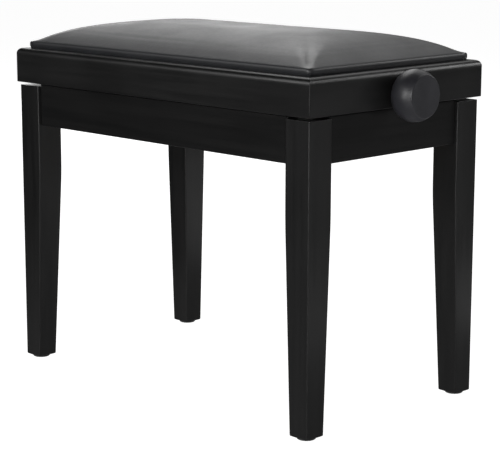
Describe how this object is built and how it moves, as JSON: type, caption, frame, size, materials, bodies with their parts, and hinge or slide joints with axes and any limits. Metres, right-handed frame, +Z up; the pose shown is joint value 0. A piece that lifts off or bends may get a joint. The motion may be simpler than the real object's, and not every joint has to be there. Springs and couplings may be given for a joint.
{
  "type": "piano bench",
  "caption": "Height-adjustable piano bench with a padded leather seat in a mitred wooden frame, tapered square legs and a screw-driven scissor lift turned by side knobs.",
  "frame": {"origin": "on the floor, under the middle of the bench", "axes": "+X along the bench towards the right-hand end, +Y towards the back, +Z up"},
  "size_m": [0.635, 0.317, 0.4735],
  "materials": {
    "black_lacquer": "satin black lacquer over fine-grained wood",
    "raw_beech": "planed, unfinished",
    "plywood": "raw birch plywood",
    "black_leather": "semi-matt fine-grained upholstery leather",
    "foam": "open-cell seat foam",
    "zinc_steel": "bright zinc plate",
    "bearing_brass": "turned",
    "knob_plastic": "fine satin",
    "glide_plastic": "matt",
    "nylon": "satin"
  },
  "bodies": {
    "base": {"apron_back": "black_lacquer", "apron_front": "black_lacquer", "apron_left": "black_lacquer", "apron_right": "black_lacquer", "base_pivot_pin_back": "zinc_steel", "base_pivot_pin_front": "zinc_steel", "base_rail_back": "zinc_steel", "base_rail_front": "zinc_steel", "base_screw_back_left": "zinc_steel", "base_screw_back_right": "zinc_steel", "base_screw_front_left": "zinc_steel", "base_screw_front_right": "zinc_steel", "corner_block_back_left": "raw_beech", "corner_block_back_right": "raw_beech", "corner_block_front_left": "raw_beech", "corner_block_front_right": "raw_beech", "glide_back_left": "glide_plastic", "glide_back_right": "glide_plastic", "glide_front_left": "glide_plastic", "glide_front_right": "glide_plastic", "leg_back_left": "black_lacquer", "leg_back_right": "black_lacquer", "leg_bolt_back_left": "zinc_steel", "leg_bolt_back_right": "zinc_steel", "leg_bolt_front_left": "zinc_steel", "leg_bolt_front_right": "zinc_steel", "leg_front_left": "black_lacquer", "leg_front_right": "black_lacquer"},
    "seat": {"cushion_board": "plywood", "cushion_cover": "black_leather", "cushion_foam": "foam", "screw_bearing_left": "bearing_brass", "screw_bearing_right": "bearing_brass", "seat_bracket_back": "zinc_steel", "seat_bracket_front": "zinc_steel", "seat_pivot_pin_back": "zinc_steel", "seat_pivot_pin_front": "zinc_steel", "seat_rail_back": "black_lacquer", "seat_rail_front": "black_lacquer", "seat_rail_left": "black_lacquer", "seat_rail_right": "black_lacquer", "seat_screw_back_left": "zinc_steel", "seat_screw_back_right": "zinc_steel", "seat_screw_front_left": "zinc_steel", "seat_screw_front_right": "zinc_steel"},
    "screw": {"knob_grub_screw_left": "zinc_steel", "knob_grub_screw_right": "zinc_steel", "knob_left": "knob_plastic", "knob_right": "knob_plastic", "lift_screw": "zinc_steel"},
    "outer_arms": {"scissor_arm_outer_back": "zinc_steel", "scissor_arm_outer_front": "zinc_steel", "scissor_rivet_back": "zinc_steel", "scissor_rivet_front": "zinc_steel"},
    "inner_arms": {"scissor_arm_inner_back": "zinc_steel", "scissor_arm_inner_front": "zinc_steel", "slide_bar": "zinc_steel", "slide_bush_back": "nylon", "slide_bush_front": "nylon"},
    "nut_bar": {"lift_nut_bar": "zinc_steel"}
  },
  "joints": [
    {"name": "seat_lift", "type": "slide", "parent": "base", "child": "seat", "axis": [0, 0, 1], "range_m": [0, 0.09]},
    {"name": "screw_turn", "type": "hinge", "parent": "seat", "child": "screw", "pos_m": [0, 0, 0.406], "axis": [1, 0, 0], "range_deg": [0, 3600.5]},
    {"name": "outer_arm_pivot", "type": "hinge", "parent": "base", "child": "outer_arms", "pos_m": [-0.19, 0, 0.376], "axis": [0, -1, 0], "range_deg": [0, 13.89]},
    {"name": "inner_arm_pivot", "type": "hinge", "parent": "seat", "child": "inner_arms", "pos_m": [-0.19, 0, 0.406], "axis": [0, 1, 0], "range_deg": [0, 13.89]},
    {"name": "nut_bar_pivot", "type": "hinge", "parent": "outer_arms", "child": "nut_bar", "pos_m": [0.18881, 0, 0.406], "axis": [0, 1, 0], "range_deg": [0, 13.89]}
  ],
  "couplings": [
    {"joint": "screw_turn", "follows": "seat_lift", "rad_per_m": 698.13},
    {"joint": "outer_arm_pivot", "follows": "seat_lift", "rad_per_m": 2.6918},
    {"joint": "inner_arm_pivot", "follows": "seat_lift", "rad_per_m": 2.6918},
    {"joint": "nut_bar_pivot", "follows": "seat_lift", "rad_per_m": 2.6918}
  ]
}
